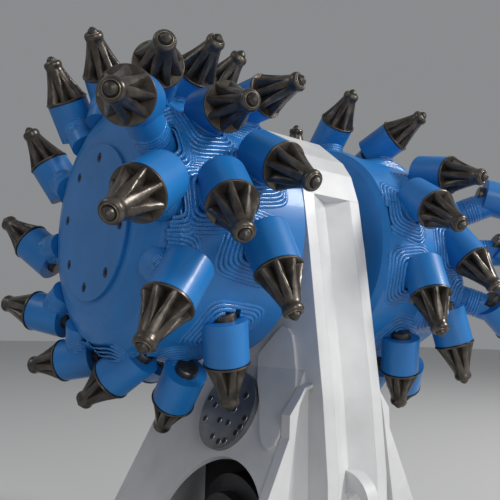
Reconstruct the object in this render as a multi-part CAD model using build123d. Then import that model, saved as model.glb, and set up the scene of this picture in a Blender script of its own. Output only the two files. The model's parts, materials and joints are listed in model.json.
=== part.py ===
from build123d import *
import math
import os

# A twin drum cutter head for an excavator, standing on its mounting plate.
# X is the drum axis, -Y the front, +Z up. The origin is the centre of the
# underside of the mounting plate. Millimetres and degrees throughout.

# Driving sizes of the housing
AXIS_HEIGHT = 700.0
NECK_HALF = 69.0
SIDE_T = 24.0
WALL_T = 22.0
CASING_T = 12.0
NECK_DROP = 232.0
FLARE_SLOPE = 0.473
GUTTER_DEPTH = 21.0
GUTTER_T = 16.0
ROOF_T = 20.0

# Mounting plate and its holes for M24 bolts
PLATE_HALF_X = 330.0
PLATE_HALF_Y = 275.0
PLATE_T = 30.0
PLATE_CHAMFER = 60.0
BOLT_EDGE_X = 80.0
BOLT_EDGE_Y = 30.0
BOLT_HOLE_R = 13.0

# Drums, shaft and end covers
SHAFT_R = 70.0
RUNNING_GAP = 0.05
BOSS_R = 150.0
BOSS_T = 22.0
HUB_R = 110.0
DRUM_INNER = 98.0
DRUM_OUTER = 374.0
END_COVER_R = 128.0
END_COVER_T = 5.0
END_BOLT_CIRCLE = 106.0
END_BOLT_COUNT = 8
END_BOLT_R = 8.0
END_BOLT_DEPTH = 3.0
END_BOLT_TURN = 9.0

# Picks and their holders
FLANGE_R = 38.0
FLANGE_T = 5.0
RIB_COUNT = 8
RIB_R = 36.5
BELLY_R = 29.5
GROOVE_R = 21.0
WAIST_R = 19.0
COLLAR_R = 14.5
BELLY_Z = 24.0
WAIST_Z = 46.0
COLLAR_Z = 74.0
TIP_BASE_R = 9.0
TIP_END_R = 3.0
TIP_SHOULDER_R = 7.5
TIP_SHOULDER_Z = 79.0
TIP_Z = 83.0
SHANK_R = 19.0
SHANK_FIT = 0.3
SHANK_STUB = 12.0
HOLDER_R = 36.5
HOLDER_LENGTH = 68.0
RELIEF_GAP = 3.0
FOOT_R = 27.0
ATTACK = 46.0

# Heights below follow from the sizes above
FLARE_TOP = AXIS_HEIGHT - NECK_DROP
WALL_ANGLE = math.atan(FLARE_SLOPE)
WALL_LENGTH = (FLARE_TOP - PLATE_T) / math.cos(WALL_ANGLE)
INNER_HALF = NECK_HALF - SIDE_T

# Picks of the left drum: row, distance from the middle plane, radius of the
# flange centre, phase from the top toward the front, lean outward
LEFT_PICKS = (
    ("outer", 382, 277, 331, 32),
    ("outer", 352, 277, 351, 33),
    ("outer", 372, 277, 302, 31),
    ("outer", 382, 277, 269, 30),
    ("outer", 376, 277, 240, 34),
    ("outer", 346, 277, 215, 32),
    ("outer", 371, 277, 119, 36),
    ("outer", 442, 286, 92, 46),
    ("outer", 455, 290, 67, 38),
    ("outer", 370, 277, 42, 22),
    ("middle", 314, 252, 187, 22),
    ("middle", 216, 286, 179, -5),
    ("middle", 299, 277, 90, 13),
    ("middle", 279, 275, 56, 6),
    ("middle", 247, 277, 19, 2),
    ("middle", 258, 277, 232, 8),
    ("middle", 262, 277, 266, 8),
    ("middle", 266, 277, 300, 8),
    ("inner", 200, 256, 148, -14),
    ("inner", 206, 277, 107, 0),
    ("inner", 202, 277, 75, -2),
    ("inner", 165, 277, 39, -12),
    ("inner", 167, 277, 7, -10),
    ("inner", 180, 277, 212, -8),
    ("inner", 180, 277, 248, -8),
    ("inner", 180, 277, 284, -8),
    ("inner", 180, 277, 322, -8),
)

# Picks of the right drum, with the same columns
RIGHT_PICKS = (
    ("outer", 375, 277, 349, 32),
    ("outer", 442, 286, 68, 46),
    ("outer", 442, 286, 93, 46),
    ("outer", 442, 286, 120, 46),
    ("outer", 378, 277, 176, 30),
    ("outer", 374, 277, 205, 33),
    ("outer", 378, 277, 234, 33),
    ("outer", 375, 277, 264, 31),
    ("outer", 378, 277, 292, 31),
    ("outer", 375, 277, 325, 32),
    ("middle", 297, 277, 131, 16),
    ("middle", 278, 277, 182, 12),
    ("middle", 300, 252, 95, 2),
    ("middle", 251, 277, 59, 3),
    ("middle", 273, 277, 18, 13),
    ("middle", 262, 277, 212, 8),
    ("middle", 262, 277, 246, 8),
    ("middle", 262, 277, 280, 8),
    ("middle", 262, 277, 314, 8),
    ("inner", 226, 271, 151, 14),
    ("inner", 166, 270, 111, -12),
    ("inner", 158, 277, 78, -10),
    ("inner", 163, 286, 4, -8),
    ("inner", 180, 277, 192, -8),
    ("inner", 180, 277, 230, -8),
    ("inner", 180, 277, 264, -8),
    ("inner", 180, 277, 298, -8),
    ("inner", 180, 277, 330, -8),
)

# Outline of a drum core from its inner to its outer end: distance, radius
CORE = (
    (DRUM_INNER, 200.0),
    (DRUM_INNER + 8.0, 212.0),
    (DRUM_OUTER - 40.0, 210.0),
    (DRUM_OUTER - 16.0, 194.0),
    (DRUM_OUTER - 4.0, 170.0),
    (DRUM_OUTER, 150.0),
)

# Side view of the neck, as (y, height above the drum axis)
NECK_FRONT = (
    (-167.0, 72.0),
    (-182.0, -20.0),
    (-217.0, -276.0),
    (-228.0, -400.0),
    (-230.0, PLATE_T - AXIS_HEIGHT),
)
ROOF = (
    (-167.0, 72.0),
    (-149.0, 124.0),
    (-127.0, 155.0),
    (-62.0, 208.0),
    (62.0, 208.0),
    (127.0, 155.0),
    (149.0, 124.0),
    (167.0, 72.0),
)
NECK_REAR = ((167.0, 72.0), (205.0, -NECK_DROP))
COLUMN_BACK = -150.0

# Front frame of the casing, as (x, height above the drum axis)
FRAME_OUTER = (
    (NECK_HALF, -252.0),
    (87.0, -258.0),
    (97.0, -273.0),
    (118.0, -299.0),
    (119.0, -334.0),
    (163.0, -425.0),
)
FRAME_INNER = (
    (NECK_HALF, -258.0),
    (85.0, -264.0),
    (97.0, -284.0),
    (103.0, -314.0),
    (120.0, -425.0),
)
FRAME_FRONT = -194.0
FRAME_T = 20.0
PANEL_FRONT = -184.0
PANEL_T = 14.0
REAR_TOP_Y = 205.0
REAR_FOOT_Y = 258.0

os.makedirs("parts", exist_ok=True)


def save(name, solids):
    """Write one node; a list of solids that do not touch becomes one compound."""
    shape = solids[0] if len(solids) == 1 else Compound(children=solids)
    shape.label = name
    export_step(shape, f"parts/{name}.step")


def only(shape):
    """The single solid of a boolean result."""
    solids = shape.solids()
    return solids[0] if len(solids) == 1 else Compound(children=solids)


def largest(shape):
    """The largest solid of a boolean result."""
    return max(shape.solids(), key=lambda solid: solid.volume)


def axle_disc(x_from, x_to, radius, y=0.0, z=AXIS_HEIGHT):
    """A cylinder along X between two stations."""
    plane = Plane(origin=(x_from, y, z), x_dir=(0, 1, 0), z_dir=(1, 0, 0))
    return extrude(plane * Circle(radius), x_to - x_from).solid()


def prism_yz(points, x_from, x_to):
    """A polygon of (y, z) points extruded along X."""
    plane = Plane(origin=(x_from, 0, 0), x_dir=(0, 1, 0), z_dir=(1, 0, 0))
    face = plane * Polygon(*points, align=None)
    return extrude(face, x_to - x_from, dir=(1, 0, 0)).solid()


def prism_xz(points, y_from, y_to):
    """A polygon of (x, z) points extruded along Y."""
    plane = Plane(origin=(0, y_from, 0), x_dir=(1, 0, 0), z_dir=(0, -1, 0))
    face = plane * Polygon(*points, align=None)
    return extrude(face, y_to - y_from, dir=(0, 1, 0)).solid()


def raised(points):
    """The same outline with its heights measured from the floor."""
    return [(across, AXIS_HEIGHT + height) for across, height in points]


def flip(shape):
    """The same piece on the other side of the middle plane."""
    return mirror(shape, about=Plane.YZ)


def save_pair(name, piece):
    """Write a right-hand piece and its mirror image."""
    save(f"{name}_right", [piece])
    save(f"{name}_left", [flip(piece)])


# Roof: a folded plate over the neck
def toward_axis(point, depth):
    """A side view point moved toward the drum axis."""
    y, height = point
    keep = 1.0 - depth / math.hypot(y, height)
    return y * keep, height * keep


roof_inner = [toward_axis(point, ROOF_T) for point in ROOF]
roof = prism_yz(raised(list(ROOF) + roof_inner[::-1]), -NECK_HALF, NECK_HALF)
save("nose_roof", [roof])

# Side plates: the whole neck and, below it, the front column down to the foot
side_outline = (
    [roof_inner[0]]
    + list(NECK_FRONT)
    + [(COLUMN_BACK, PLATE_T - AXIS_HEIGHT), (COLUMN_BACK, -NECK_DROP)]
    + list(NECK_REAR[::-1])
    + roof_inner[:0:-1]
)
side_plate = prism_yz(raised(side_outline), INNER_HALF, NECK_HALF)
side_plate -= axle_disc(INNER_HALF, NECK_HALF, HUB_R)
save_pair("side_plate", only(side_plate))

# Front wall of the neck: a plate folded inward along its middle
gutter_sections = []
for y, height in NECK_FRONT:
    gutter_points = (
        (-INNER_HALF, y),
        (0.0, y + GUTTER_DEPTH),
        (INNER_HALF, y),
        (INNER_HALF, y + GUTTER_T),
        (0.0, y + GUTTER_DEPTH + GUTTER_T),
        (-INNER_HALF, y + GUTTER_T),
    )
    level = Plane.XY.offset(AXIS_HEIGHT + height)
    gutter_sections.append(level * Polygon(*gutter_points, align=None))
front_wall = loft(gutter_sections, ruled=True) - roof
save("neck_front_wall", [largest(front_wall)])

rear_points = list(NECK_REAR) + [(y - WALL_T, z) for y, z in NECK_REAR[::-1]]
rear_wall = prism_yz(raised(rear_points), -INNER_HALF, INNER_HALF) - roof
save("neck_rear_wall", [largest(rear_wall)])

# Seal bosses round the shaft
boss = axle_disc(NECK_HALF, NECK_HALF + BOSS_T, BOSS_R)
boss += axle_disc(INNER_HALF, NECK_HALF, HUB_R)
boss -= axle_disc(INNER_HALF, NECK_HALF + BOSS_T, SHAFT_R + RUNNING_GAP)
save_pair("shaft_boss", only(boss))

# Inclined casing walls with the motor openings
OPENING_R = 0.3 * WALL_LENGTH
OPENING_DOWN = 0.64 * WALL_LENGTH
OPENING_Y = -66.0
COVER_R = 0.15 * WALL_LENGTH
COVER_DOWN = 0.18 * WALL_LENGTH
COVER_Y = -19.0
COVER_T = 10.0
FRAME_BACK = FRAME_FRONT + FRAME_T

wall_plane = Plane(
    origin=(NECK_HALF, 0, FLARE_TOP),
    x_dir=(0, 1, 0),
    z_dir=(math.cos(WALL_ANGLE), 0, math.sin(WALL_ANGLE)),
)
DOWNWARD = 1.0 if wall_plane.y_dir.Z < 0 else -1.0


def wall_polygon(points):
    """Points given as (y, distance down the wall)."""
    return wall_plane * Polygon(*[(y, DOWNWARD * down) for y, down in points], align=None)


def wall_disc(y, down, radius, thickness):
    """A disc standing on the wall, thickness outward."""
    disc = wall_plane * (Pos(y, DOWNWARD * down) * Circle(radius))
    return extrude(disc, thickness).solid()


outward = wall_plane.z_dir
wall_outline = (
    (FRAME_BACK, -CASING_T),
    (FRAME_BACK, WALL_LENGTH + CASING_T),
    (REAR_FOOT_Y, WALL_LENGTH + CASING_T),
    (REAR_FOOT_Y, -CASING_T),
)
side_wall = extrude(wall_polygon(wall_outline), CASING_T, dir=-outward)
span = [(FRAME_BACK, FLARE_TOP), (REAR_TOP_Y, FLARE_TOP), (REAR_FOOT_Y, PLATE_T), (FRAME_BACK, PLATE_T)]
side_wall &= prism_yz(span, 0, PLATE_HALF_X)
side_wall -= wall_disc(OPENING_Y, OPENING_DOWN, OPENING_R, -CASING_T)
side_wall = largest(side_wall - side_plate)
save_pair("casing_wall", side_wall)

# Front frames with the kinked outline, and the panels let into them
foot_level = PLATE_T - AXIS_HEIGHT
last_x, last_height = FRAME_OUTER[-1]
foot_outer = (last_x + FLARE_SLOPE * (last_height - foot_level), foot_level)
inner_x, inner_height = FRAME_INNER[-1]
above_x, above_height = FRAME_INNER[-2]
inner_slope = (inner_x - above_x) / (above_height - inner_height)
foot_inner = (inner_x + inner_slope * (inner_height - foot_level), foot_level)
frame_outline = list(FRAME_OUTER) + [foot_outer, foot_inner] + list(FRAME_INNER[::-1])
front_frame = prism_xz(raised(frame_outline), FRAME_FRONT, FRAME_BACK)
save_pair("casing_front_frame", front_frame)

panel_outline = list(FRAME_INNER) + [foot_inner, (NECK_HALF, foot_level)]
front_panel = prism_xz(raised(panel_outline), PANEL_FRONT, PANEL_FRONT + PANEL_T)
front_panel = largest(front_panel - side_wall)
save_pair("casing_front_panel", front_panel)

# Rear wall between the inclined walls
wall_shift = CASING_T / math.cos(WALL_ANGLE)
top_half = NECK_HALF - wall_shift
foot_half = top_half + FLARE_SLOPE * (FLARE_TOP - PLATE_T)
wedge = prism_xz(
    [(-top_half, FLARE_TOP), (top_half, FLARE_TOP), (foot_half, PLATE_T), (-foot_half, PLATE_T)],
    -PLATE_HALF_Y,
    PLATE_HALF_Y,
)
casing_rear = prism_yz(
    [
        (REAR_TOP_Y, FLARE_TOP),
        (REAR_FOOT_Y, PLATE_T),
        (REAR_FOOT_Y - WALL_T, PLATE_T),
        (REAR_TOP_Y - WALL_T, FLARE_TOP),
    ],
    -PLATE_HALF_X,
    PLATE_HALF_X,
)
save("casing_rear_wall", [largest(casing_rear & wedge)])

# Round covers on the inclined walls
save_pair("round_cover", wall_disc(COVER_Y, COVER_DOWN, COVER_R, COVER_T))

# Bent doubler plates at the front of the neck: upper leg (y, height above
# the drum axis), lower leg (y, distance down the wall)
DOUBLER_T = 6.0
DOUBLER_NECK = (
    (-120.0, -159.0),
    (-136.0, -163.0),
    (-147.0, -174.0),
    (-152.0, -192.0),
    (-158.0, -NECK_DROP),
    (-56.0, -NECK_DROP),
    (-57.0, -209.0),
    (-85.0, -186.0),
    (-106.0, -169.0),
)
DOUBLER_WALL = (
    (-158.0, 0.0),
    (-172.0, 34.0),
    (-172.0, 112.0),
    (-169.0, 130.0),
    (-156.0, 138.0),
    (-142.0, 133.0),
    (-124.0, 114.0),
    (-95.0, 62.0),
    (-71.0, 30.0),
    (-56.0, 0.0),
)
doubler = prism_yz(raised(DOUBLER_NECK), NECK_HALF, NECK_HALF + DOUBLER_T)
doubler += extrude(wall_polygon(DOUBLER_WALL), DOUBLER_T, dir=outward)
save_pair("neck_doubler", largest(doubler - side_wall - front_panel))

# Mounting plate
bolt_x_outer = PLATE_HALF_X - BOLT_EDGE_X
bolt_x_inner = bolt_x_outer / 3
bolt_y = PLATE_HALF_Y - BOLT_EDGE_Y
plate_sketch = Rectangle(2 * PLATE_HALF_X, 2 * PLATE_HALF_Y)
plate_sketch = chamfer(plate_sketch.vertices(), PLATE_CHAMFER)
holes = [
    Pos(side_x * x, side_y * bolt_y) * Circle(BOLT_HOLE_R)
    for x in (bolt_x_outer, bolt_x_inner)
    for side_x in (-1, 1)
    for side_y in (-1, 1)
]
save("mounting_plate", [only(extrude(plate_sketch - holes, PLATE_T))])

# Drive motor inside the casing, seen through the openings
MOTOR_R = 97.0
MOTOR_Y = -40.0
MOTOR_HALF = 110.0
MOTOR_CAP = 24.0
MOTOR_CAP_R = 0.7 * MOTOR_R
CARRIER_T = 40.0
motor_z = FLARE_TOP - OPENING_DOWN * math.cos(WALL_ANGLE)
motor = axle_disc(-MOTOR_HALF, MOTOR_HALF, MOTOR_R, MOTOR_Y, motor_z)
for end in (-MOTOR_HALF - MOTOR_CAP, MOTOR_HALF):
    motor += axle_disc(end, end + MOTOR_CAP, MOTOR_CAP_R, MOTOR_Y, motor_z)
motor = only(motor)
carrier_top = FLARE_TOP - WALL_T
carrier_rear = REAR_TOP_Y - WALL_T
carrier = prism_yz(
    [
        (COLUMN_BACK, PLATE_T),
        (carrier_rear, PLATE_T),
        (carrier_rear, carrier_top),
        (COLUMN_BACK, carrier_top),
    ],
    -CARRIER_T / 2,
    CARRIER_T / 2,
)
save("motor_carrier", [only(carrier - motor)])
save("drive_motor", [motor])

# Eye plate standing in the folded front wall
EYE_R = 50.0
EYE_HOLE_R = 20.0
EYE_HALF = 13.0
EYE_Y = -212.0
EYE_DROP = 440.0
EYE_FOOT = 90.0
EYE_LET_IN = 1.0
eye_z = AXIS_HEIGHT - EYE_DROP
eye = axle_disc(-EYE_HALF, EYE_HALF, EYE_R, EYE_Y, eye_z)
eye += prism_yz(
    [
        (EYE_Y - EYE_R, eye_z),
        (EYE_Y - EYE_R, eye_z - EYE_FOOT / 2),
        (EYE_Y, eye_z - EYE_FOOT),
        (EYE_Y + EYE_R, eye_z - EYE_FOOT),
        (EYE_Y + EYE_R, eye_z),
    ],
    -EYE_HALF,
    EYE_HALF,
)
eye -= axle_disc(-EYE_HALF, EYE_HALF, EYE_HOLE_R, EYE_Y - EYE_R / 3, eye_z)
fold = [(y + GUTTER_DEPTH - EYE_LET_IN, z) for y, z in NECK_FRONT]
behind = prism_yz(
    raised(fold + [(0.0, foot_level), (0.0, NECK_FRONT[0][1])]),
    -EYE_HALF,
    EYE_HALF,
)
eye = largest(eye - front_wall - behind)
save("lifting_eye", [eye])

# Rotor: shaft, drum bodies, end covers
SHAFT_SEAT = 20.0
save("drum_shaft", [axle_disc(SHAFT_SEAT - DRUM_OUTER, DRUM_OUTER - SHAFT_SEAT, SHAFT_R)])

core_profile = [(DRUM_INNER, SHAFT_R)] + list(CORE) + [(DRUM_OUTER, SHAFT_R)]
core_plane = Plane(origin=(0, 0, AXIS_HEIGHT), x_dir=(1, 0, 0), z_dir=(0, -1, 0))
core_face = core_plane * Polygon(*core_profile, align=None)
drum_axis = Axis((0, 0, AXIS_HEIGHT), (1, 0, 0))
drum = revolve(core_face, drum_axis)
drum = only(drum + axle_disc(DRUM_OUTER - SHAFT_SEAT, DRUM_OUTER, SHAFT_R))

cover_face = DRUM_OUTER + END_COVER_T
end_cover = axle_disc(DRUM_OUTER, cover_face, END_COVER_R)
for i in range(END_BOLT_COUNT):
    angle = math.radians(END_BOLT_TURN + 360.0 * i / END_BOLT_COUNT)
    y = -END_BOLT_CIRCLE * math.sin(angle)
    z = AXIS_HEIGHT + END_BOLT_CIRCLE * math.cos(angle)
    end_cover -= axle_disc(cover_face - END_BOLT_DEPTH, cover_face, END_BOLT_R, y, z)
save_pair("end_cover", only(end_cover))


# Picks: a fluted head on a flange, a round shank behind it and a carbide tip
def ribbed(height, rib_radius, groove_radius, rib_angle):
    """A section across the head: each rib has two corners, then a groove."""
    pitch = 2 * math.pi / RIB_COUNT
    half = math.radians(rib_angle) / 2
    points = []
    for i in range(RIB_COUNT):
        for turn, radius in ((-half, rib_radius), (half, rib_radius), (pitch / 2, groove_radius)):
            angle = i * pitch + turn
            points.append((radius * math.cos(angle), radius * math.sin(angle)))
    return Plane.XY.offset(height) * Polygon(*points, align=None)


def turned(profile):
    """A body of revolution about Z from (height, radius) points."""
    face = Plane.XZ * Polygon(*[(radius, height) for height, radius in profile], align=None)
    return revolve(face, Axis.Z).solid()


def rod(z_from, z_to, radius):
    """A cylinder along Z."""
    return extrude(Plane.XY.offset(z_from) * Circle(radius), z_to - z_from).solid()


RIB_ANGLE_FOOT = 20.0
RIB_ANGLE_BELLY = 24.0
RIB_ANGLE_WAIST = 32.0
head = loft(
    [
        ribbed(FLANGE_T, RIB_R, GROOVE_R, RIB_ANGLE_FOOT),
        ribbed(BELLY_Z, BELLY_R, GROOVE_R, RIB_ANGLE_BELLY),
        ribbed(WAIST_Z, WAIST_R, WAIST_R, RIB_ANGLE_WAIST),
        ribbed(COLLAR_Z, COLLAR_R, COLLAR_R, RIB_ANGLE_WAIST),
    ],
    ruled=True,
)
head += rod(0.0, FLANGE_T, FLANGE_R)
head += rod(-HOLDER_LENGTH - SHANK_STUB, 0.0, SHANK_R)
head = only(head)
tip_outline = (
    (COLLAR_Z, 0.0),
    (COLLAR_Z, TIP_BASE_R),
    (TIP_SHOULDER_Z, TIP_SHOULDER_R),
    (TIP_Z, TIP_END_R),
    (TIP_Z, 0.0),
)
tip = turned(tip_outline)
bore = rod(-HOLDER_LENGTH - SHANK_STUB, 0.0, SHANK_R + SHANK_FIT)
relief = rod(-HOLDER_LENGTH - SHANK_STUB - RELIEF_GAP, 0.0, SHANK_R + RELIEF_GAP)
sleeve = rod(-HOLDER_LENGTH, 0.0, HOLDER_R)

# A holder's foot runs from the middle of its sleeve toward the shaft
FOOT_START = HOLDER_LENGTH * 0.5
FOOT_SINK = 24.0
FOOT_INNER_EDGE = 40.0
FOOT_OUTER_EDGE = 22.0


def seat(x, radius, phase, lean):
    """The place of a pick: Z along the pick, origin at its flange centre."""
    turn = math.radians(phase)
    outside = Vector(0, -math.sin(turn), math.cos(turn))
    forward = Vector(0, -math.cos(turn), -math.sin(turn))
    tilt = math.radians(ATTACK)
    side = math.radians(lean)
    along = (forward * math.cos(tilt) + outside * math.sin(tilt)) * math.cos(side)
    along = along + Vector(math.sin(side), 0, 0)
    origin = outside * radius + Vector(x, 0, AXIS_HEIGHT)
    return Plane(origin=origin, x_dir=along.cross(outside), z_dir=along)


def foot(place, x):
    """The round foot that carries a sleeve, sunk into the drum core within its edges."""
    start = place.origin - place.z_dir * FOOT_START
    station = min(max(abs(x), DRUM_INNER + FOOT_INNER_EDGE), DRUM_OUTER - FOOT_OUTER_EDGE)
    outside = Vector(0, start.Y, start.Z - AXIS_HEIGHT).normalized()
    end = outside * (CORE[1][1] - FOOT_SINK) + Vector(math.copysign(station, x), 0, AXIS_HEIGHT)
    inward = end - start
    return extrude(Plane(origin=start, z_dir=inward) * Circle(FOOT_R), inward.length).solid()


for side, sign, picks in (("left", -1, LEFT_PICKS), ("right", 1, RIGHT_PICKS)):
    core = drum if sign > 0 else flip(drum)
    heads = {"outer": [], "middle": [], "inner": []}
    holders = {"outer": [], "middle": [], "inner": []}
    reliefs = []
    tips = []
    for row, distance, radius, phase, lean in picks:
        place = seat(sign * distance, radius, phase, sign * lean)
        at = Location(place)
        heads[row].append(at * head)
        tips.append(at * tip)
        reliefs.append(at * relief)
        holder = (at * sleeve) + foot(place, sign * distance)
        holders[row].append(largest(holder - core - at * bore))
    for row in heads:
        save(f"picks_{side}_{row}", heads[row])
        save(f"holders_{side}_{row}", holders[row])
    save(f"carbide_tips_{side}", tips)
    save(f"drum_body_{side}", [only(core - reliefs)])
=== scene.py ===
"""Looks of an excavator drum cutter: two blue drums of forged picks on a pale housing."""

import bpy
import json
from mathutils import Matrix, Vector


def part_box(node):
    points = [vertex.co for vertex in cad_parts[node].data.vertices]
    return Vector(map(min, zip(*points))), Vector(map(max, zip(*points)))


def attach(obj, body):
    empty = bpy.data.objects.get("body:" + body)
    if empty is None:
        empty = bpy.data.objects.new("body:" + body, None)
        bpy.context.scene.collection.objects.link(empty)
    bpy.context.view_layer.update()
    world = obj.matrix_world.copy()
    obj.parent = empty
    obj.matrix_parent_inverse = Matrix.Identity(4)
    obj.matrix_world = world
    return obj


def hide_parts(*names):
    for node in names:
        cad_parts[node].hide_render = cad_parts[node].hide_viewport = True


bl_info = {
    "name": "Drum cutter finish",
    "version": (1, 0, 0),
    "blender": (4, 5, 0),
    "location": "View3D > Sidebar > Drum cutter",
    "description": "Pick heads, weld beads, bolts, paint and a studio for the drum cutter",
    "category": "Object",
}

import json
import math
import random

import bmesh
import bpy
import numpy as np
from bpy.props import FloatProperty, FloatVectorProperty, IntProperty, PointerProperty
from mathutils import Matrix, Vector
from mathutils.bvhtree import BVHTree

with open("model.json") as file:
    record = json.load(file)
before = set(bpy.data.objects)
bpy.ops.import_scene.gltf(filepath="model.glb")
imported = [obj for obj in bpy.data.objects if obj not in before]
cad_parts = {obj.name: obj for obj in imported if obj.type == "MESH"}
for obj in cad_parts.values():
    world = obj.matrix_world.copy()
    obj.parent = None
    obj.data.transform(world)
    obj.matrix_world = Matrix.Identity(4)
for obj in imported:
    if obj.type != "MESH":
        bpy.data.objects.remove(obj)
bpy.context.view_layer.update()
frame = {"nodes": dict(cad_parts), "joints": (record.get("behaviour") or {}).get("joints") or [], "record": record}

MM = 0.001
AXIS_HEIGHT = frame["joints"][0]["pos_m"][2]
SIDES = ("left", "right")
ROWS = ("outer", "middle", "inner")

# Sizes of a pick, as in the solids; heights are measured from the back of its flange
HOLDER_LENGTH = 68 * MM
SHANK_STUB = 12 * MM
SHANK_R = 19 * MM
SHANK_CHAMFER = 2 * MM
FLANGE_T = 5 * MM
COLLAR_Z = 74 * MM
POCKET_DEPTH = 17 * MM

# Where the feet of the holders enter the drums
CORE_R = 212 * MM
FOOT_R = 27 * MM
FOOT_SINK = 24 * MM
FOOT_INNER_EDGE = 40 * MM
FOOT_OUTER_EDGE = 22 * MM


# Settings that a user would change
class PickSettings(bpy.types.PropertyGroup):
    """Sizes of the forged pick heads."""

    ribs: IntProperty(name="Ribs", description="Ribs round a pick head", default=8, min=4, max=12)
    flange_radius: FloatProperty(
        name="Flange radius", description="Radius of the flange on the holder",
        default=38 * MM, unit="LENGTH",
    )
    pocket_depth: FloatProperty(
        name="Pocket depth", description="How far the pockets lie below the ribs at the flange",
        default=POCKET_DEPTH, unit="LENGTH",
    )
    rim_radius: FloatProperty(
        name="Rim radius", description="Radius of the rim round the insert",
        default=11.6 * MM, unit="LENGTH",
    )


class WeldSettings(bpy.types.PropertyGroup):
    """Sizes of the weld beads."""

    pass_pitch: FloatProperty(
        name="Pass pitch", description="Distance between neighbouring weld passes",
        default=6 * MM, unit="LENGTH",
    )
    passes: IntProperty(name="Passes", description="Passes round a holder", default=6, min=1, max=8)
    climb: IntProperty(
        name="Climbing passes", description="Passes that climb a holder's foot",
        default=5, min=0, max=8,
    )
    ripple: FloatProperty(
        name="Ripple", description="Distance between the ripples of a bead",
        default=3.6 * MM, unit="LENGTH",
    )


class FinishSettings(bpy.types.PropertyGroup):
    """Colours of the paints and steels."""

    blue: FloatVectorProperty(
        name="Drum blue", description="Gloss paint of the drums", subtype="COLOR",
        default=(0.009, 0.172, 0.50), min=0.0, max=1.0,
    )
    pale: FloatVectorProperty(
        name="Housing grey", description="Paint of the housing", subtype="COLOR",
        default=(0.62, 0.625, 0.635), min=0.0, max=1.0,
    )
    forged: FloatVectorProperty(
        name="Forged steel", description="Dark steel of the picks", subtype="COLOR",
        default=(0.082, 0.069, 0.057), min=0.0, max=1.0,
    )
    bare: FloatVectorProperty(
        name="Bare steel", description="Machined steel of covers and shaft", subtype="COLOR",
        default=(0.30, 0.31, 0.33), min=0.0, max=1.0,
    )


class StudioSettings(bpy.types.PropertyGroup):
    """Camera and light."""

    focal: FloatProperty(
        name="Focal length", description="Camera lens in millimetres", default=44.5
    )
    sky: FloatProperty(name="Sky", description="Strength of the even light", default=0.27)
    key: FloatProperty(
        name="Lamp power", description="Power that all lamps scale with",
        default=46.0, unit="POWER",
    )


GROUPS = (
    ("cutter_picks", PickSettings),
    ("cutter_welds", WeldSettings),
    ("cutter_finish", FinishSettings),
    ("cutter_studio", StudioSettings),
)


# Colours that have no setting of their own
# Near-black for the motor, partly its own paint and partly painted shade for the dark inside of the casing's
# opening
MOTOR_PAINT_AND_OPENING_SHADE = (0.02, 0.02, 0.022)
CARBIDE_GREY = (0.085, 0.078, 0.070)
RIM_BROWN = (0.20, 0.17, 0.14)
BOLT_BLACK = (0.07, 0.07, 0.075)


# Materials
def finish(name):
    """A new material with its node tree and its shader."""
    material = bpy.data.materials.new(name)
    material.use_nodes = True
    tree = material.node_tree
    shader = tree.nodes["Principled BSDF"]
    return material, tree, shader


def noise(tree, scale, detail=4.0, roughness=0.55, stretch=None):
    """A noise texture over the object's own coordinates."""
    coordinates = tree.nodes.new("ShaderNodeTexCoord")
    texture = tree.nodes.new("ShaderNodeTexNoise")
    texture.inputs["Scale"].default_value = scale
    texture.inputs["Detail"].default_value = detail
    texture.inputs["Roughness"].default_value = roughness
    source = coordinates.outputs["Object"]
    if stretch:
        mapping = tree.nodes.new("ShaderNodeMapping")
        mapping.inputs["Scale"].default_value = stretch
        tree.links.new(source, mapping.inputs["Vector"])
        source = mapping.outputs["Vector"]
    tree.links.new(source, texture.inputs["Vector"])
    return texture.outputs["Fac"]


def ramp(tree, source, stops):
    """A colour ramp; each stop is (position, colour or grey)."""
    node = tree.nodes.new("ShaderNodeValToRGB")
    elements = node.color_ramp.elements
    while len(elements) < len(stops):
        elements.new(0.5)
    for element, (position, colour) in zip(elements, stops):
        element.position = position
        if isinstance(colour, float):
            colour = (colour, colour, colour)
        element.color = (*colour, 1.0)
    tree.links.new(source, node.inputs["Fac"])
    return node.outputs["Color"]


def bump(tree, shader, source, strength, distance):
    """Relief from a height, put on top of any relief the shader has."""
    node = tree.nodes.new("ShaderNodeBump")
    node.inputs["Strength"].default_value = strength
    node.inputs["Distance"].default_value = distance
    tree.links.new(source, node.inputs["Height"])
    if shader.inputs["Normal"].is_linked:
        below = shader.inputs["Normal"].links[0].from_socket
        tree.links.new(below, node.inputs["Normal"])
    tree.links.new(node.outputs["Normal"], shader.inputs["Normal"])


def rounded(tree, shader, radius):
    """Make sharp edges catch the light as if they were broken by this radius."""
    node = tree.nodes.new("ShaderNodeBevel")
    node.samples = 4
    node.inputs["Radius"].default_value = radius
    tree.links.new(node.outputs["Normal"], shader.inputs["Normal"])


def shade(colour, factor):
    """A colour made lighter or darker."""
    return tuple(min(1.0, part * factor) for part in colour)


def gloss_paint(name, colour, roughness, coat, dust, relief):
    """Sprayed paint: slow changes of tone, dust that adds roughness and an uneven skin."""
    material, tree, shader = finish(name)
    tone = ramp(tree, noise(tree, 7.0), ((0.3, shade(colour, 0.86)), (0.7, shade(colour, 1.12))))
    tree.links.new(tone, shader.inputs["Base Color"])
    spots = noise(tree, 26.0, detail=5.0, roughness=0.6)
    rough = ramp(tree, spots, ((0.35, roughness), (0.75, roughness + dust)))
    tree.links.new(rough, shader.inputs["Roughness"])
    shader.inputs["Coat Weight"].default_value = coat
    shader.inputs["Coat Roughness"].default_value = 0.12
    rounded(tree, shader, 2.0 * MM)
    bump(tree, shader, noise(tree, 55.0, detail=2.0), 0.25, relief)
    return material


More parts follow.
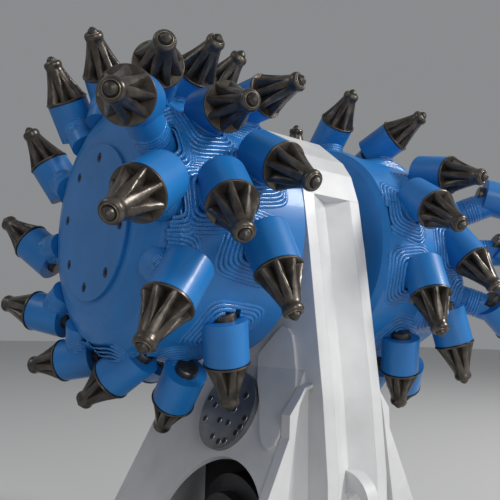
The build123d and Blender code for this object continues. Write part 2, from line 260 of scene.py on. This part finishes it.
def weld_paint(name, colour):
    """Paint over weld metal: glossy, lumpy and rippled along the beads."""
    material, tree, shader = finish(name)
    tone = ramp(tree, noise(tree, 60.0), ((0.3, shade(colour, 0.85)), (0.7, shade(colour, 1.2))))
    tree.links.new(tone, shader.inputs["Base Color"])
    shader.inputs["Roughness"].default_value = 0.27
    shader.inputs["Coat Weight"].default_value = 0.45
    shader.inputs["Coat Roughness"].default_value = 0.10
    along = tree.nodes.new("ShaderNodeAttribute")
    along.attribute_name = "ripple"
    wave = tree.nodes.new("ShaderNodeMath")
    wave.operation = "SINE"
    tree.links.new(along.outputs["Fac"], wave.inputs[0])
    bump(tree, shader, wave.outputs["Value"], 0.7, 0.35 * MM)
    bump(tree, shader, noise(tree, 380.0, detail=2.0), 0.5, 0.5 * MM)
    return material


def forged_steel(name, colour):
    """Oiled dark forging with lighter, rubbed patches."""
    material, tree, shader = finish(name)
    patches = noise(tree, 34.0, detail=6.0, roughness=0.62)
    tone = ramp(
        tree, patches, ((0.32, shade(colour, 0.45)), (0.52, colour), (0.74, shade(colour, 2.0)))
    )
    tree.links.new(tone, shader.inputs["Base Color"])
    shader.inputs["Metallic"].default_value = 0.7
    rough = ramp(tree, noise(tree, 80.0), ((0.3, 0.26), (0.72, 0.44)))
    tree.links.new(rough, shader.inputs["Roughness"])
    shader.inputs["Specular IOR Level"].default_value = 0.6
    shader.inputs["Coat Weight"].default_value = 0.2
    shader.inputs["Coat Roughness"].default_value = 0.18
    rounded(tree, shader, 0.8 * MM)
    bump(tree, shader, noise(tree, 260.0, detail=3.0), 0.35, 0.5 * MM)
    return material


def machined_steel(name, colour, low, high):
    """Turned or ground steel, stained, with streaks of low and high roughness."""
    material, tree, shader = finish(name)
    stains = noise(tree, 24.0, detail=6.0, roughness=0.6)
    tone = ramp(tree, stains, ((0.3, shade(colour, 0.78)), (0.7, shade(colour, 1.15))))
    tree.links.new(tone, shader.inputs["Base Color"])
    shader.inputs["Metallic"].default_value = 0.9
    streaks = noise(tree, 18.0, detail=5.0, roughness=0.6, stretch=(1.0, 1.0, 14.0))
    rough = ramp(tree, streaks, ((0.3, low), (0.7, high)))
    tree.links.new(rough, shader.inputs["Roughness"])
    bump(tree, shader, noise(tree, 300.0, detail=2.0), 0.15, 0.2 * MM)
    return material


def material_set(settings):
    """All finishes of the cutter, by the name of the record's slot or of the use."""
    blue = tuple(settings.blue)
    pale = tuple(settings.pale)
    forged = tuple(settings.forged)
    bare = tuple(settings.bare)
    return {
        "blue_paint": gloss_paint(
            "Drum blue paint", blue, roughness=0.38, coat=0.16, dust=0.10, relief=0.5 * MM
        ),
        "weld_paint": weld_paint("Painted weld metal", blue),
        "seam_paint": weld_paint("Painted housing seams", pale),
        "pale_paint": gloss_paint(
            "Housing grey paint", pale, roughness=0.38, coat=0.25, dust=0.14, relief=0.4 * MM
        ),
        # The motor's near-black is partly its paint and partly painted shade for the inside of the opening
        "dark_paint": gloss_paint(
            "Motor paint and painted opening shade", MOTOR_PAINT_AND_OPENING_SHADE, roughness=0.4, coat=0.1, dust=0.2, relief=0.4 * MM
        ),
        "pick_steel": forged_steel("Forged pick steel", forged),
        "carbide": machined_steel("Ground carbide", CARBIDE_GREY, low=0.34, high=0.52),
        "rim_steel": machined_steel("Rubbed rim steel", RIM_BROWN, low=0.26, high=0.42),
        "bare_steel": machined_steel("Machined steel", bare, low=0.28, high=0.48),
        "bolt_steel": machined_steel("Blackened bolt steel", BOLT_BLACK, low=0.3, high=0.5),
    }


# The finishes by name, filled by the first operator
materials = {}


# Mesh helpers
def new_piece(name, vertices, faces, material, body, replaced=(), smooth_angle=35.0):
    """A mesh object with a finish, tied to the body that it rides on."""
    mesh = bpy.data.meshes.new(name)
    mesh.from_pydata([tuple(v) for v in vertices], [], faces)
    mesh.validate()
    mesh.update()
    mesh.materials.append(materials[material])
    mesh.shade_smooth()
    mesh.set_sharp_from_angle(angle=math.radians(smooth_angle))
    piece = bpy.data.objects.new(name, mesh)
    bpy.context.scene.collection.objects.link(piece)
    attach(piece, body)
    if replaced:
        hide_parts(*replaced)
    return piece


# Corners of a CAD node closer than this are one corner
MERGE_GAP = 0.01 * MM
# How far corners of a pick's end face may lie from its plane
END_SLACK = 0.2 * MM


def merged(node):
    """A CAD node as a bmesh whose split corners are joined again."""
    shape = bmesh.new()
    shape.from_mesh(frame["nodes"][node].data)
    bmesh.ops.remove_doubles(shape, verts=shape.verts, dist=MERGE_GAP)
    return shape


def surface_of(node):
    """A CAD node's surface, to cast rays at."""
    shape = merged(node)
    surface = BVHTree.FromBMesh(shape)
    shape.free()
    return surface


def islands(shape):
    """The separate solids of a bmesh, each as an array of its corners."""
    seen = set()
    groups = []
    for vertex in shape.verts:
        if vertex.index in seen:
            continue
        stack = [vertex]
        seen.add(vertex.index)
        group = []
        while stack:
            here = stack.pop()
            group.append(here.co[:])
            for edge in here.link_edges:
                other = edge.other_vert(here)
                if other.index not in seen:
                    seen.add(other.index)
                    stack.append(other)
        groups.append(np.array(group))
    return groups


def pick_seats(node):
    """Flange centre and direction of each pick in a CAD node."""
    shape = merged(node)
    seats = []
    for points in islands(shape):
        middle = points.mean(axis=0)
        offsets = points - middle
        axis = np.linalg.svd(offsets, full_matrices=False)[2][0]
        heights = offsets @ axis
        ends = []
        for end in (heights.min(), heights.max()):
            ring = points[np.abs(heights - end) < END_SLACK]
            centre = ring.mean(axis=0)
            ends.append((np.linalg.norm(ring - centre, axis=1).max(), centre))
        ends.sort(key=lambda item: item[0])
        tip, stub = ends[0][1], ends[1][1]
        along = (tip - stub) / np.linalg.norm(tip - stub)
        seats.append((Vector(stub + along * (HOLDER_LENGTH + SHANK_STUB)), Vector(along)))
    shape.free()
    return seats


def radial(point):
    """The direction from the drum axis to a point."""
    return Vector((0, point.y, point.z - AXIS_HEIGHT)).normalized()


def placement(across, along, origin):
    """A place as a matrix: X across, Z along and Y square to both."""
    place = Matrix((across, along.cross(across), along)).transposed().to_4x4()
    place.translation = origin
    return place


def seat_matrix(origin, along):
    """The place of a pick: Z along it and X square to the drum's radius."""
    return placement(along.cross(radial(origin)).normalized(), along, origin)


def stacked(rings):
    """Vertices and faces of a stack of rings, closed at both ends."""
    count = len(rings[0])
    vertices = [point for ring in rings for point in ring]
    faces = []
    for level in range(len(rings) - 1):
        low, high = level * count, (level + 1) * count
        for i in range(count):
            j = (i + 1) % count
            faces.append((low + i, low + j, high + j, high + i))
    faces.append(tuple(range(count - 1, -1, -1)))
    top = (len(rings) - 1) * count
    faces.append(tuple(range(top, top + count)))
    return vertices, faces


def circle(radius, height, count):
    """Points of a level circle."""
    turns = [2 * math.pi * i / count for i in range(count)]
    return [Vector((radius * math.cos(turn), radius * math.sin(turn), height)) for turn in turns]


def placed(places, shape):
    """Copies of a (vertices, faces) shape, one at each matrix, joined into one."""
    points, loops = shape
    vertices, faces = [], []
    for place in places:
        start = len(vertices)
        vertices += [place @ point for point in points]
        faces += [tuple(start + i for i in loop) for loop in loops]
    return vertices, faces


# Pick heads
def smooth(low, high, value):
    """A soft step from 0 to 1."""
    share = min(1.0, max(0.0, (value - low) / (high - low)))
    return share * share * (3 - 2 * share)


# Height above the flange back, radius over the ribs and radius in the pockets, all in mm
HEAD_PROFILE = (
    (5.0, 36.5, 19.5),
    (9.0, 34.8, 19.2),
    (16.0, 31.6, 18.8),
    (24.0, 28.0, 18.4),
    (32.0, 24.6, 18.0),
    (40.0, 21.6, 17.4),
    (47.0, 19.2, 16.8),
    (53.0, 17.2, 16.2),
    (58.0, 15.8, 15.5),
)
# Height and radius of the neck and the collar above the ribs, in mm
COLLAR_PROFILE = (
    (61.0, 15.0),
    (64.0, 15.5),
    (67.0, 16.2),
    (70.0, 16.0),
    (72.6, 15.0),
    (74.0, 13.4),
)
SEGMENTS_PER_RIB = 14
# The dark groove between flange and holder
GROOVE_DEPTH = 4 * MM
GROOVE_WIDTH = 1.4 * MM
# Broken edges of the flange, next to the groove and next to the ribs
LOWER_EDGE = 0.6 * MM
UPPER_EDGE = 0.8 * MM
# Share of its pitch that a rib's flat back takes, at the flange and where the pockets end
RIB_SHARE_LOW = 0.20
RIB_SHARE_HIGH = 1.0
# Heights in mm between which the ribs widen, and between which a change of depth fades
RIBS_WIDEN = (14.0, 58.0)
DEPTH_FADES = (5.0, 40.0)
# The steepest flank, as the share of half a pitch that it takes
STEEPEST_FLANK = 0.05

# The rim round an insert in mm: how far inside its radius and how far above the collar
RIM_PROFILE = (
    (0.0, -1.0),
    (0.2, 0.8),
    (0.9, 1.3),
    (1.6, 1.2),
    (2.2, 0.5),
    (2.5, -1.0),
)
RIM_SEGMENTS = 36


def pick_head(settings):
    """One head: shank, flange, ribs with hollow pockets between them, neck and collar."""
    count = settings.ribs * SEGMENTS_PER_RIB
    pitch = 2 * math.pi / settings.ribs
    flange = settings.flange_radius
    shank_end = HOLDER_LENGTH + SHANK_STUB
    rings = [
        circle(SHANK_R - SHANK_CHAMFER, -shank_end, count),
        circle(SHANK_R, SHANK_CHAMFER - shank_end, count),
        circle(SHANK_R, 0.0, count),
        circle(flange - GROOVE_DEPTH, 0.0, count),
        circle(flange - GROOVE_DEPTH, GROOVE_WIDTH, count),
        circle(flange - LOWER_EDGE, GROOVE_WIDTH, count),
        circle(flange, GROOVE_WIDTH + LOWER_EDGE, count),
        circle(flange, FLANGE_T - UPPER_EDGE, count),
        circle(flange - UPPER_EDGE, FLANGE_T, count),
    ]
    extra = settings.pocket_depth - POCKET_DEPTH
    for height, rib, pocket in HEAD_PROFILE:
        widening = smooth(*RIBS_WIDEN, height)
        share = RIB_SHARE_LOW + (RIB_SHARE_HIGH - RIB_SHARE_LOW) * widening
        flank = max(STEEPEST_FLANK, 1 - share)
        depth = (rib - pocket) * MM + extra * (1 - smooth(*DEPTH_FADES, height))
        ring = []
        for i in range(count):
            angle = i * pitch / SEGMENTS_PER_RIB
            offset = abs((angle / pitch + 0.5) % 1.0 - 0.5) * 2
            slope = min(1.0, max(0.0, (offset - share) / flank))
            radius = rib * MM - depth * slope
            ring.append(Vector((radius * math.cos(angle), radius * math.sin(angle), height * MM)))
        rings.append(ring)
    rings += [circle(radius * MM, height * MM, count) for height, radius in COLLAR_PROFILE]
    return stacked(rings)


def rim_ring(radius):
    """The rubbed rim round the insert: a ring with rounded edges."""
    profile = [(radius - inset * MM, COLLAR_Z + rise * MM) for inset, rise in RIM_PROFILE]
    return ring_of(profile, RIM_SEGMENTS)


def ring_of(profile, count):
    """A closed ring about Z from (radius, height) points."""
    vertices = [point for radius, height in profile for point in circle(radius, height, count)]
    faces = []
    levels = len(profile)
    for level in range(levels):
        here, there = level * count, (level + 1) % levels * count
        for i in range(count):
            j = (i + 1) % count
            faces.append((here + i, here + j, there + j, there + i))
    return vertices, faces


class CUTTER_OT_finishes(bpy.types.Operator):
    """Make the paints and steels and put them on the CAD nodes"""

    bl_idname = "cutter.finishes"
    bl_label = "Finishes"

    def execute(self, context):
        materials.update(material_set(context.scene.cutter_finish))
        for row in frame["record"]["subparts"]:
            mesh = frame["nodes"][row["node"]].data
            mesh.materials.clear()
            mesh.materials.append(materials[row["material_slot"]])
        return {"FINISHED"}


class CUTTER_OT_picks(bpy.types.Operator):
    """Forge the pick heads on their CAD seats and add the rims round their inserts"""

    bl_idname = "cutter.picks"
    bl_label = "Picks"

    def execute(self, context):
        settings = context.scene.cutter_picks
        head = pick_head(settings)
        rim = rim_ring(settings.rim_radius)
        for side in SIDES:
            rim_places = []
            for row in ROWS:
                node = f"picks_{side}_{row}"
                places = [seat_matrix(*seat) for seat in pick_seats(node)]
                vertices, faces = placed(places, head)
                new_piece(f"pick_heads_{side}_{row}", vertices, faces, "pick_steel", "rotor",
                          replaced=(node,), smooth_angle=32.0)
                rim_places += places
            vertices, faces = placed(rim_places, rim)
            new_piece(f"insert_rims_{side}", vertices, faces, "rim_steel", "rotor",
                      smooth_angle=60.0)
        return {"FINISHED"}


# Weld beads; a sheet of beads is (vertices, faces, ripple phases)
BEAD_SIDES = 5
BEAD_STEP = 3.2 * MM
BEAD_SINK = 0.4 * MM
# Height of a bead as a share of its radius, and how much it swells and shrinks along its run
BEAD_HEIGHT = 0.5
BEAD_SWELL = (0.88, 1.1)
# How far a ripple lags at the bead's edges, as a share of half a ripple
RIPPLE_BOW = 0.9


def add_bead(sheet, points, normals, radius, ripple, closed, seed):
    """Lay a bead along points of a surface: half a tube, and the ripple phase of each corner."""
    vertices, faces, phases = sheet
    start = len(vertices)
    draw = random.Random(seed)
    total = len(points)
    run_length = 0.0
    for i, (point, normal) in enumerate(zip(points, normals)):
        before = points[i - 1] if closed or i else points[i]
        after = points[(i + 1) % total] if closed or i < total - 1 else points[i]
        run = (after - before).normalized()
        across = run.cross(normal).normalized()
        run_length += (point - points[i - 1]).length if i else 0.0
        swell = draw.uniform(*BEAD_SWELL)
        for k in range(BEAD_SIDES):
            turn = math.pi * k / (BEAD_SIDES - 1)
            lift = math.sin(turn) * radius * BEAD_HEIGHT * swell - BEAD_SINK
            vertices.append(point + across * (math.cos(turn) * radius) + normal * lift)
            bow = RIPPLE_BOW * math.cos(turn) ** 2
            phases.append(2 * math.pi * run_length / ripple - bow * math.pi)
    for i in range(total if closed else total - 1):
        here = start + i * BEAD_SIDES
        there = start + (i + 1) % total * BEAD_SIDES
        for k in range(BEAD_SIDES - 1):
            faces.append((here + k, there + k, there + k + 1, here + k + 1))
        faces.append((here + BEAD_SIDES - 1, there + BEAD_SIDES - 1, there, here))
    if not closed:
        faces.append(tuple(reversed(range(start, start + BEAD_SIDES))))
        last = start + (total - 1) * BEAD_SIDES
        faces.append(tuple(range(last, last + BEAD_SIDES)))


def bead_piece(name, sheet, material, body):
    """A piece made of beads, which keeps their phases for the ripples in its material."""
    vertices, faces, phases = sheet
    piece = new_piece(name, vertices, faces, material, body, smooth_angle=70.0)
    ripple = piece.data.attributes.new("ripple", "FLOAT", "POINT")
    ripple.data.foreach_set("value", phases)


# Weld passes round the feet of the holders, as shares of the pitch between two passes:
# a bead's radius, how much each pass lies higher than the next one out, and then for the
# passes that climb the foot their own pitch and the height of the first
PASS_RADIUS = 0.6
PASS_LIFT = 0.4
CLIMB_PITCH = 0.9
CLIMB_START = 0.3
CLIMB_SEED = 1000
# The passes follow a rounded square of this power, turned by up to about this many radians
SQUARE_POWER = 5
LARGEST_TWIST = 0.25
# How far a pass leans away from its foot, and how close it comes to the drum's two edges
PASS_TILT = 0.35
INNER_MARGIN = 6 * MM
OUTER_MARGIN = 20 * MM
# Rays start this far above the drum's core and go this far
RAY_START = 40 * MM
RAY_REACH = 0.2
# A surface faces a ray when the cosine between its normal and the way back is at least this
FACING = 0.7
FEWEST_POINTS = 8


def foot_entry(origin, along, inner, outer):
    """Where a holder's foot meets the drum, the way out from the axis and the foot's way in."""
    start = origin - along * (HOLDER_LENGTH / 2)
    station = min(max(abs(origin.x), inner + FOOT_INNER_EDGE), outer - FOOT_OUTER_EDGE)
    outside = radial(start)
    axis_point = Vector((math.copysign(station, origin.x), 0, AXIS_HEIGHT))
    end = outside * (CORE_R - FOOT_SINK) + axis_point
    path = end - start
    height = (start - Vector((start.x, 0, AXIS_HEIGHT))).length
    share = (height - CORE_R) / (height - CORE_R + FOOT_SINK)
    return start + path * share, outside, path.normalized()


def foot_pass(middle, up, turned):
    """Points and normals of a weld pass that runs round the foot itself."""
    count = int(2 * math.pi * FOOT_R / BEAD_STEP)
    side_way = up.cross(Vector((0, 1, 0))).normalized()
    front_way = up.cross(side_way)
    points, normals = [], []
    for i in range(count):
        turn = 2 * math.pi * i / count + turned
        away = side_way * math.cos(turn) + front_way * math.sin(turn)
        points.append(middle + away * (FOOT_R - BEAD_SINK))
        normals.append(away)
    return points, normals


def drum_pass(surface, foot, radius, lift, twist, turned, inner, outer):
    """Points and normals of a weld pass on the drum round a foot, and whether it closes."""
    centre, outside, path = foot
    lean = abs(path.x)
    around = outside.cross(Vector((1, 0, 0)))
    stretch = FOOT_R * (1 / math.sqrt(1 - lean * lean) - 1)
    count = int(2 * math.pi * radius / BEAD_STEP)
    points, normals = [], []
    for i in range(count):
        turn = 2 * math.pi * i / count + turned
        c, s = math.cos(turn), math.sin(turn)
        box = (abs(c) ** SQUARE_POWER + abs(s) ** SQUARE_POWER) ** (1 / SQUARE_POWER)
        side_step = c / box * (radius + stretch)
        front_step = s / box * radius
        place = (
            centre
            + Vector((side_step + front_step * twist, 0, 0))
            + around * (front_step - side_step * twist)
        )
        if not inner + INNER_MARGIN < abs(place.x) < outer - OUTER_MARGIN:
            continue
        up = radial(place)
        top = Vector((place.x, 0, AXIS_HEIGHT)) + up * (CORE_R + RAY_START)
        hit, normal, _, _ = surface.ray_cast(top, -up, RAY_REACH)
        if hit is None or normal.dot(up) < FACING:
            continue
        sideways = (hit - centre).normalized()
        points.append(hit + up * lift)
        normals.append((up + sideways * PASS_TILT).normalized())
    closed = len(points) == count
    if points and not closed:
        gaps = [(points[i] - points[i - 1]).length for i in range(len(points))]
        first = gaps.index(max(gaps))
        points = points[first:] + points[:first]
        normals = normals[first:] + normals[:first]
    return points, normals, closed


class CUTTER_OT_welds(bpy.types.Operator):
    """Lay the weld passes round the feet of the holders"""

    bl_idname = "cutter.welds"
    bl_label = "Holder welds"

    def execute(self, context):
        settings = context.scene.cutter_welds
        pitch, ripple = settings.pass_pitch, settings.ripple
        for side in SIDES:
            surface = surface_of(f"drum_body_{side}")
            low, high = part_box(f"drum_body_{side}")
            inner = min(abs(low.x), abs(high.x))
            outer = max(abs(low.x), abs(high.x))
            sheet = ([], [], [])
            seats = [seat for row in ROWS for seat in pick_seats(f"picks_{side}_{row}")]
            for number, (origin, along) in enumerate(seats, 1):
                foot = foot_entry(origin, along, inner, outer)
                twist = random.Random(number).uniform(-LARGEST_TWIST, LARGEST_TWIST)
                for step in range(settings.passes):
                    radius = FOOT_R + pitch * step
                    lift = pitch * PASS_LIFT * (settings.passes - 1 - step)
                    points, normals, closed = drum_pass(
                        surface, foot, radius, lift, twist, number, inner, outer
                    )
                    if len(points) < FEWEST_POINTS:
                        continue
                    add_bead(sheet, points, normals, pitch * PASS_RADIUS, ripple, closed,
                             number * 10 + step)
                centre, _, path = foot
                for step in range(settings.climb):
                    middle = centre - path * (pitch * CLIMB_PITCH * (step + CLIMB_START))
                    points, normals = foot_pass(middle, -path, number + step)
                    add_bead(sheet, points, normals, pitch * PASS_RADIUS, ripple, True,
                             number * 10 + CLIMB_SEED + step)
            bead_piece(f"holder_welds_{side}", sheet, "weld_paint", "rotor")
        return {"FINISHED"}


# Fillet welds where the casing stands on its plate
SEAM_LEG = 8 * MM
SEAM_STEP = 4 * MM
SEAM_RIPPLE = 5 * MM
# Radius of the bead as a share of the leg
SEAM_RADIUS = 0.7
SEAM_SEED = 7000
# The rays start this far out from the middle and this high above the plate
SEAM_OUT = 0.40
SEAM_HEIGHT = 3 * MM
SEAM_REACH = 0.6
# A seam is cut where two points lie further apart than this
SEAM_GAP = 2.5 * SEAM_STEP
SEAM_FEWEST = 5

# The walls with a seam: node, where its row of rays starts and ends in X and Y, and their way
SEAM_WALLS = (
    ("casing_wall_left", (-SEAM_OUT, -SEAM_OUT), (-SEAM_OUT, SEAM_OUT), (1, 0)),
    ("casing_wall_right", (SEAM_OUT, -SEAM_OUT), (SEAM_OUT, SEAM_OUT), (-1, 0)),
    ("casing_rear_wall", (-SEAM_OUT, SEAM_OUT), (SEAM_OUT, SEAM_OUT), (0, -1)),
    ("casing_front_frame_left", (-SEAM_OUT, -SEAM_OUT), (0, -SEAM_OUT), (0, 1)),
    ("casing_front_frame_right", (0, -SEAM_OUT), (SEAM_OUT, -SEAM_OUT), (0, 1)),
    ("neck_front_wall", (-SEAM_OUT, -SEAM_OUT), (SEAM_OUT, -SEAM_OUT), (0, 1)),
)


def foot_seam(surface, start, end, aim, floor):
    """Runs of (points, normals) along the foot of a wall, found by rays from outside."""
    runs = []
    count = int((end - start).length / SEAM_STEP)
    for i in range(count + 1):
        place = start.lerp(end, i / count)
        hit, normal, _, _ = surface.ray_cast(place, aim, SEAM_REACH)
        if hit is None or normal.dot(aim) > -FACING:
            continue
        up = (Vector((0, 0, 1)) - normal * normal.z).normalized()
        corner = hit - up * ((hit.z - floor) / up.z)
        middle = corner + (up - aim) * (SEAM_LEG / 2)
        if not runs or (middle - runs[-1][0][-1]).length > SEAM_GAP:
            runs.append(([], []))
        runs[-1][0].append(middle)
        runs[-1][1].append((up - aim).normalized())
    return [run for run in runs if len(run[0]) >= SEAM_FEWEST]


class CUTTER_OT_seams(bpy.types.Operator):
    """Lay the fillet welds between the casing and its mounting plate"""

    bl_idname = "cutter.seams"
    bl_label = "Housing seams"

    def execute(self, context):
        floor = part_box("mounting_plate")[1].z
        level = floor + SEAM_HEIGHT
        sheet = ([], [], [])
        for number, (node, start, end, aim) in enumerate(SEAM_WALLS):
            surface = surface_of(node)
            start, end = Vector((*start, level)), Vector((*end, level))
            for points, normals in foot_seam(surface, start, end, Vector((*aim, 0)), floor):
                add_bead(sheet, points, normals, SEAM_LEG * SEAM_RADIUS, SEAM_RIPPLE, False,
                         SEAM_SEED + number)
        bead_piece("housing_seams", sheet, "seam_paint", "housing")
        return {"FINISHED"}


# Thickness of a round cover
COVER_T = 10 * MM
# Bolts of an end cover: radius of their circle, number, degrees of the first one from the
# top, and depth of the recesses of the solid that they sit in
END_BOLT_CIRCLE = 106 * MM
END_BOLT_COUNT = 8
END_BOLT_TURN = 9.0
END_BOLT_DEPTH = 3 * MM

# Radius and height of the heads: in the round covers and in the end covers
COVER_SCREW = (5.2 * MM, 0.5 * MM)
END_BOLT = (6.5 * MM, 2.4 * MM)
HEAD_SEGMENTS = 18
HEAD_CHAMFER = 0.4 * MM
# The socket as shares of the head: radius at its mouth and at its floor, height of its floor
SOCKET_MOUTH = 0.55
SOCKET_FLOOR = 0.5
SOCKET_HEIGHT = 0.35

# Radius and height of the raised edge round a screw
SCREW_RIM = (
    (7.4 * MM, 0.0),
    (7.0 * MM, 0.8 * MM),
    (5.4 * MM, 0.8 * MM),
    (5.4 * MM, 0.0),
)
SCREW_RIM_SEGMENTS = 20

# Screws of a round cover in mm from its centre: toward the rear, down the wall
COVER_SCREWS = (
    (60, -14),
    (37, -3),
    (-23, -2),
    (-41, -29),
    (51, 24),
    (7, 22),
    (-20, 23),
    (-60, 10),
    (-57, 26),
    (9, 52),
    (-13, 58),
    (-29, 54),
    (-51, 37),
)


def screw_head(radius, height):
    """A low socket head with a hollow in it."""
    return stacked(
        [
            circle(radius, 0.0, HEAD_SEGMENTS),
            circle(radius, height - HEAD_CHAMFER, HEAD_SEGMENTS),
            circle(radius - HEAD_CHAMFER, height, HEAD_SEGMENTS),
            circle(radius * SOCKET_MOUTH, height, HEAD_SEGMENTS),
            circle(radius * SOCKET_FLOOR, height * SOCKET_HEIGHT, HEAD_SEGMENTS),
        ]
    )


def cover_places(side):
    """Where the screws of a round cover sit, with Z out of its face."""
    cover = merged(f"round_cover_{side}")
    points = np.array([vertex.co[:] for vertex in cover.verts])
    cover.free()
    middle = points.mean(axis=0)
    normal = Vector(np.linalg.svd(points - middle, full_matrices=False)[2][2])
    if normal.z < 0:
        normal = -normal
    rear = Vector((0, 1, 0))
    down = Vector((math.copysign(normal.z, middle[0]), 0, -abs(normal.x)))
    face = Vector(middle) + normal * (COVER_T / 2)
    return [
        placement(rear, normal, face + rear * (back * MM) + down * (drop * MM))
        for back, drop in COVER_SCREWS
    ]


def end_places(side):
    """Where the bolts of an end cover sit, with Z out of the drum's end."""
    low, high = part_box(f"end_cover_{side}")
    out = Vector((-1, 0, 0)) if side == "left" else Vector((1, 0, 0))
    end = low.x if side == "left" else high.x
    places = []
    for i in range(END_BOLT_COUNT):
        angle = math.radians(END_BOLT_TURN + 360.0 * i / END_BOLT_COUNT)
        centre = (
            end - out.x * END_BOLT_DEPTH,
            -END_BOLT_CIRCLE * math.sin(angle),
            AXIS_HEIGHT + END_BOLT_CIRCLE * math.cos(angle),
        )
        places.append(placement(Vector((0, 1, 0)), out, centre))
    return places


class CUTTER_OT_bolts(bpy.types.Operator):
    """Put the screws into the round covers and the end covers"""

    bl_idname = "cutter.bolts"
    bl_label = "Cover bolts"

    def execute(self, context):
        for side in SIDES:
            places = cover_places(side)
            vertices, faces = placed(places, ring_of(SCREW_RIM, SCREW_RIM_SEGMENTS))
            new_piece(f"cover_screw_rims_{side}", vertices, faces, "bare_steel", "housing")
            vertices, faces = placed(places, screw_head(*COVER_SCREW))
            new_piece(f"cover_screws_{side}", vertices, faces, "bolt_steel", "housing")
            vertices, faces = placed(end_places(side), screw_head(*END_BOLT))
            new_piece(f"end_cover_bolts_{side}", vertices, faces, "bolt_steel", "rotor")
        return {"FINISHED"}


# Stage. The camera stands where the photo was taken from; its angles are in degrees
CAMERA_PLACE = (-0.775, -0.939, 0.525)
CAMERA_YAW = 37.5
CAMERA_PITCH = 7.8
CAMERA_ROLL = 1.17
SENSOR_WIDTH = 36.0

FLOOR_HALF = 30.0
FLOOR_COLOUR = (0.66, 0.66, 0.66, 1)
SKY_COLOUR = (0.94, 0.965, 1.0, 1)

# Name, place, diameter, power as a multiple of the setting, colour
LAMPS = (
    ("key_lamp", (3.9, -4.4, 4.4), 1.9, 8.0, (1.0, 0.985, 0.96)),
    ("fill_lamp", (-1.3, -5.5, 1.8), 2.4, 1.5, (1.0, 0.99, 0.97)),
    ("rim_lamp", (-2.6, 0.6, 2.8), 1.2, 0.2, (0.92, 0.96, 1.0)),
)


class CUTTER_OT_studio(bpy.types.Operator):
    """Set up floor, light and camera"""

    bl_idname = "cutter.studio"
    bl_label = "Studio"

    def execute(self, context):
        scene = context.scene
        settings = scene.cutter_studio
        floor_mesh = bpy.data.meshes.new("studio_floor")
        half = FLOOR_HALF
        corners = [(-half, -half, 0), (half, -half, 0), (half, half, 0), (-half, half, 0)]
        floor_mesh.from_pydata(corners, [], [(0, 1, 2, 3)])
        floor = bpy.data.objects.new("studio_floor", floor_mesh)
        scene.collection.objects.link(floor)
        matt, _, shader = finish("Studio floor")
        shader.inputs["Base Color"].default_value = FLOOR_COLOUR
        shader.inputs["Roughness"].default_value = 0.8
        floor_mesh.materials.append(matt)

        world = bpy.data.worlds.new("Studio sky")
        scene.world = world
        world.use_nodes = True
        sky = world.node_tree.nodes["Background"]
        sky.inputs["Color"].default_value = SKY_COLOUR
        sky.inputs["Strength"].default_value = settings.sky

        for name, place, size, multiple, colour in LAMPS:
            light = bpy.data.lights.new(name, "AREA")
            light.shape = "DISK"
            light.size = size
            light.energy = settings.key * multiple
            light.color = colour
            lamp = bpy.data.objects.new(name, light)
            scene.collection.objects.link(lamp)
            lamp.location = place
            aim = Vector((0, 0, AXIS_HEIGHT)) - Vector(place)
            lamp.rotation_euler = aim.to_track_quat("-Z", "Y").to_euler()

        yaw, pitch, roll = (math.radians(a) for a in (CAMERA_YAW, CAMERA_PITCH, CAMERA_ROLL))
        ahead = Vector(
            (math.sin(yaw) * math.cos(pitch), math.cos(yaw) * math.cos(pitch), math.sin(pitch))
        )
        level = ahead.cross(Vector((0, 0, 1))).normalized()
        right = level * math.cos(roll) + level.cross(ahead) * math.sin(roll)
        camera = bpy.data.cameras.new("photo_camera")
        camera.sensor_width = SENSOR_WIDTH
        camera.lens = settings.focal
        viewer = bpy.data.objects.new("photo_camera", camera)
        scene.collection.objects.link(viewer)
        viewer.matrix_world = placement(right, -ahead, Vector(CAMERA_PLACE))
        scene.camera = viewer
        scene.view_settings.view_transform = "Standard"
        return {"FINISHED"}


class CUTTER_PT_panel(bpy.types.Panel):
    """The cutter's settings and steps"""

    bl_idname = "CUTTER_PT_panel"
    bl_label = "Drum cutter"
    bl_space_type = "VIEW_3D"
    bl_region_type = "UI"
    bl_category = "Drum cutter"

    def draw(self, context):
        layout = self.layout
        for name, group in GROUPS:
            box = layout.box()
            box.label(text=group.__doc__)
            for setting in group.__annotations__:
                box.prop(getattr(context.scene, name), setting)
        for operator in OPERATORS:
            layout.operator(operator.bl_idname)


OPERATORS = (
    CUTTER_OT_finishes,
    CUTTER_OT_picks,
    CUTTER_OT_welds,
    CUTTER_OT_seams,
    CUTTER_OT_bolts,
    CUTTER_OT_studio,
)


def register():
    """Register the settings, the operators and the panel."""
    for name, group in GROUPS:
        bpy.utils.register_class(group)
        setattr(bpy.types.Scene, name, PointerProperty(type=group))
    for operator in OPERATORS:
        bpy.utils.register_class(operator)
    bpy.utils.register_class(CUTTER_PT_panel)


def unregister():
    """Remove the panel, the operators and the settings."""
    bpy.utils.unregister_class(CUTTER_PT_panel)
    for operator in reversed(OPERATORS):
        bpy.utils.unregister_class(operator)
    for name, group in reversed(GROUPS):
        delattr(bpy.types.Scene, name)
        bpy.utils.unregister_class(group)


def main():
    """Run every step in order."""
    register()
    bpy.ops.cutter.finishes()
    bpy.ops.cutter.picks()
    bpy.ops.cutter.welds()
    bpy.ops.cutter.seams()
    bpy.ops.cutter.bolts()
    bpy.ops.cutter.studio()


if __name__ == "__main__":
    main()
